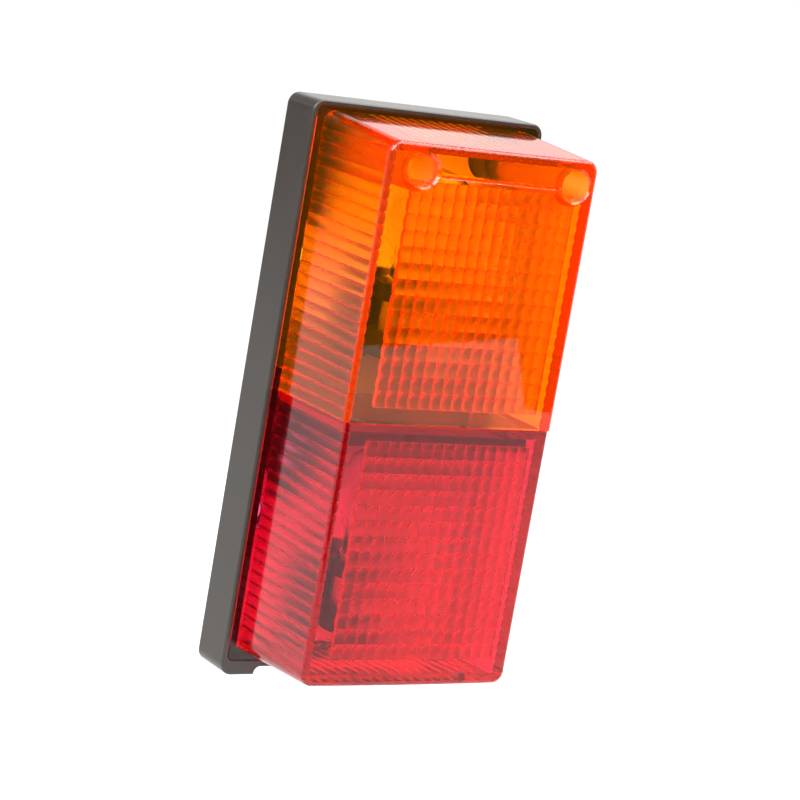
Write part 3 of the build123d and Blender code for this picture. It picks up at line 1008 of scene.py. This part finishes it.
@dataclass
class Lenses:
    """The amber and the red lens with the screws that hold them."""

    amber_top: float = 57.45 * MM
    red_top: float = -3.95 * MM

    def build(self, wardrobe: Wardrobe) -> None:
        """Make the lenses, and put the finishes on the screws and their seals.

        Args:
            wardrobe: the finishes.
        """
        Lens(Chamber.SIGNAL, self.amber_top).build(wardrobe)
        Lens(Chamber.TAIL, self.red_top).build(wardrobe)
        wardrobe.dress("lens_screws", Finish.STEEL)
        wardrobe.dress("screw_seals", Finish.RUBBER)


@dataclass
class BulbUnit:
    """The reflector, the holder and the bulb of one chamber."""

    chamber: Chamber

    def dress(self, wardrobe: Wardrobe) -> None:
        """Put the finishes on the pieces of the chamber.

        Args:
            wardrobe: the finishes.
        """
        finishes = {
            "reflector": Finish.REFLECTOR,
            "holder": Finish.BLACKENED,
            "contact": Finish.BRASS,
            "contact_bush": Finish.FIBRE,
            "bulb_cap": Finish.CAP,
            "bulb_insulator": Finish.BLACK_GLASS,
            "bulb_glass": Finish.BULB,
            "bulb_filament": Finish.TUNGSTEN,
        }
        for piece, finish in finishes.items():
            wardrobe.dress(f"{self.chamber.value}_{piece}", finish)


def facing(forward: Vector, roll: float = 0.0) -> Matrix:
    """Turn a camera or light to look along a direction.

    Args:
        forward: the direction.
        roll: turn about it in degrees.

    Returns:
        The rotation.
    """
    ahead = forward.normalized()
    side = ahead.cross(Vector((0.0, 0.0, 1.0))).normalized()
    up = side.cross(ahead)
    angle = math.radians(roll)
    right = math.cos(angle) * side + math.sin(angle) * up
    top = -math.sin(angle) * side + math.cos(angle) * up
    return Matrix((right, top, -ahead)).transposed()


@dataclass(frozen=True)
class Card:
    """A dark card that the lenses mirror and the camera doesn't see, in millimetres.

    A card with a fade is lit below the first height, and dark above the second.
    """

    name: str
    corners: tuple[Point, ...]
    fade: tuple[float, float] | None = None
    black: Colour = (0.01, 0.01, 0.01)
    rough: float = 0.9

    def material(self) -> bpy.types.Material:
        """Make the card's material.

        Returns:
            The material.
        """
        surface = Surface(self.name)
        surface.set(Base_Color=(*self.black, 1.0), Roughness=self.rough, Specular_IOR_Level=0.0)
        if self.fade:
            low, high = (height * MM for height in self.fade)
            span = {"Value": surface.axis("Z"), "From Min": low, "From Max": high, "To Min": 1.0, "To Max": 0.0}
            glow = surface.add("ShaderNodeMapRange", span, interpolation_type="SMOOTHSTEP").outputs["Result"]
            surface.set(Emission_Color=WHITE, Emission_Strength=glow)
        return surface.material


@dataclass(frozen=True)
class Softbox:
    """A soft light that looks at the lamp, in metres. Its face is white at a radiance of 1."""

    name: str
    place: Point
    size: tuple[float, float]
    radiance: float

    def hang(self, scene: bpy.types.Scene) -> None:
        """Put the light in the scene.

        Args:
            scene: the scene.
        """
        data = bpy.data.lights.new(self.name, "AREA")
        data.shape = "RECTANGLE"
        data.size, data.size_y = self.size
        data.energy = self.radiance * math.pi * self.size[0] * self.size[1]
        light = bpy.data.objects.new(self.name, data)
        place = Vector(self.place)
        light.matrix_world = Matrix.Translation(place) @ facing(-place).to_4x4()
        light.visible_camera = False
        scene.collection.objects.link(light)


FRONT_CARD = Card(
    "front_card",
    (
        (150, -500, -71),
        (378, -500, -69),
        (402, -500, -103),
        (620, -500, -130),
        (620, -500, 420),
        (150, -500, 420),
    ),
)
REAR_CARD = Card(
    "rear_card",
    ((-350, 330, -85), (-350, 700, -85), (-350, 700, 260), (-350, 330, 260)),
    fade=(-80.0, -20.0),
)
CAMERA_CARD = Card(
    "camera_card",
    ((-1100, -285, -250), (146, -1125, -250), (146, -1125, 220), (-1100, -285, 220)),
)
UPPER_CARD = Card(
    "upper_card",
    ((-600, 200, 450), (150, 200, 450), (150, 1000, 450), (-600, 1000, 450)),
)
BACK_LIGHT = Softbox("back_light", place=(0.5, 0.75, 0.4), size=(1.6, 0.7), radiance=0.2)
TOP_LIGHT = Softbox("top_light", place=(0.35, -0.25, 0.9), size=(1.3, 0.7), radiance=5.4)
FRONT_LIGHT = Softbox("front_light", place=(-0.75, -0.8, 0.75), size=(0.9, 0.9), radiance=12.0)


@dataclass
class Studio:
    """The floor, the cards, the lights and the camera."""

    cards: tuple[Card, ...] = (FRONT_CARD, REAR_CARD, CAMERA_CARD, UPPER_CARD)
    lights: tuple[Softbox, ...] = (BACK_LIGHT, TOP_LIGHT, FRONT_LIGHT)
    sky_light: float = 0.95
    floor_level: float = -250.0 * MM
    floor_half: float = 6000.0 * MM
    floor_tones: tuple[Colour, Colour] = ((0.48, 0.48, 0.48), (0.5, 0.5, 0.5))
    floor_rough: float = 0.9
    floor_glow: float = 0.55
    floor_specks: float = 40.0
    floor_clouds: float = 3.0
    camera_at: Point = (-365.27 * MM, -560.67 * MM, 124.2 * MM)
    camera_ahead: Point = (0.54963, 0.81472, -0.18476)
    camera_roll: float = 9.89
    focal: float = 124.015
    sensor: float = 36.0
    nearest: float = 0.01
    farthest: float = 50.0
    bounces: int = 24
    glossy_bounces: int = 12
    diffuse_bounces: int = 8

    def build(self, effects: Effects) -> None:
        """Set up the whole studio.

        Args:
            effects: the shared shader groups.
        """
        scene = bpy.context.scene
        scene.view_settings.view_transform = "Standard"
        scene.cycles.max_bounces = self.bounces
        scene.cycles.transmission_bounces = self.bounces
        scene.cycles.glossy_bounces = self.glossy_bounces
        scene.cycles.diffuse_bounces = self.diffuse_bounces
        scene.cycles.blur_glossy = 0.0
        self.sky(scene)
        self.floor(scene, effects)
        self.stand_cards(scene)
        for light in self.lights:
            light.hang(scene)
        self.camera(scene)

    def sky(self, scene: bpy.types.Scene) -> None:
        """Make the plain white surroundings.

        Args:
            scene: the scene.
        """
        world = bpy.data.worlds.new("studio_white")
        world.use_nodes = True
        scene.world = world
        tree = Tree(world.node_tree)
        path = tree.add("ShaderNodeLightPath").outputs
        seen = tree.math("MAXIMUM", path["Is Camera Ray"], path["Is Glossy Ray"])
        seen = tree.math("MAXIMUM", seen, path["Is Transmission Ray"])
        background = world.node_tree.nodes["Background"]
        tree.feed(background.inputs["Color"], WHITE)
        tree.feed(background.inputs["Strength"], tree.spread(seen, self.sky_light, 1.0))

    def sheet(self, scene: bpy.types.Scene, name: str, corners: list[Point]) -> bpy.types.Object:
        """Make a flat sheet of the stage.

        Args:
            scene: the scene.
            name: the sheet's name.
            corners: its corners in order, in metres.

        Returns:
            The sheet.
        """
        mesh = bpy.data.meshes.new(name)
        mesh.from_pydata(corners, [], [tuple(range(len(corners)))])
        thing = bpy.data.objects.new(name, mesh)
        scene.collection.objects.link(thing)
        return thing

    def floor(self, scene: bpy.types.Scene, effects: Effects) -> None:
        """Lay the pale floor.

        Args:
            scene: the scene.
            effects: the shared shader groups.
        """
        half, level = self.floor_half, self.floor_level
        corners = [(-half, -half, level), (half, -half, level), (half, half, level), (-half, half, level)]
        floor = self.sheet(scene, "floor", corners)
        surface = Surface("floor_white")
        grain = surface.group(effects.grain, Fine=self.floor_specks, Broad=self.floor_clouds)
        surface.set(
            Base_Color=surface.blend(grain.outputs["Tone"], *self.floor_tones),
            Roughness=self.floor_rough,
            Specular_IOR_Level=0.0,
            Emission_Color=WHITE,
            Emission_Strength=self.floor_glow,
        )
        floor.data.materials.append(surface.material)

    def stand_cards(self, scene: bpy.types.Scene) -> None:
        """Stand the dark cards.

        Args:
            scene: the scene.
        """
        for card in self.cards:
            corners = [tuple(value * MM for value in corner) for corner in card.corners]
            sheet = self.sheet(scene, card.name, corners)
            sheet.visible_camera = False
            sheet.data.materials.append(card.material())

    def camera(self, scene: bpy.types.Scene) -> None:
        """Set the camera at the photograph's viewing angle.

        Args:
            scene: the scene.
        """
        data = bpy.data.cameras.new("camera")
        data.lens = self.focal
        data.sensor_width = self.sensor
        data.sensor_fit = "HORIZONTAL"
        data.clip_start = self.nearest
        data.clip_end = self.farthest
        camera = bpy.data.objects.new("camera", data)
        turn = facing(Vector(self.camera_ahead), self.camera_roll)
        camera.matrix_world = Matrix.Translation(self.camera_at) @ turn.to_4x4()
        scene.collection.objects.link(camera)
        scene.camera = camera


def main() -> None:
    """Dress the lamp and set the studio."""
    logging.basicConfig(level=logging.INFO, format="%(message)s")
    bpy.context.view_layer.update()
    wardrobe = Wardrobe()
    Housing().dress(wardrobe)
    Lenses().build(wardrobe)
    for chamber in Chamber:
        BulbUnit(chamber).dress(wardrobe)
    Studio().build(wardrobe.effects)


if __name__ == "__main__":
    main()
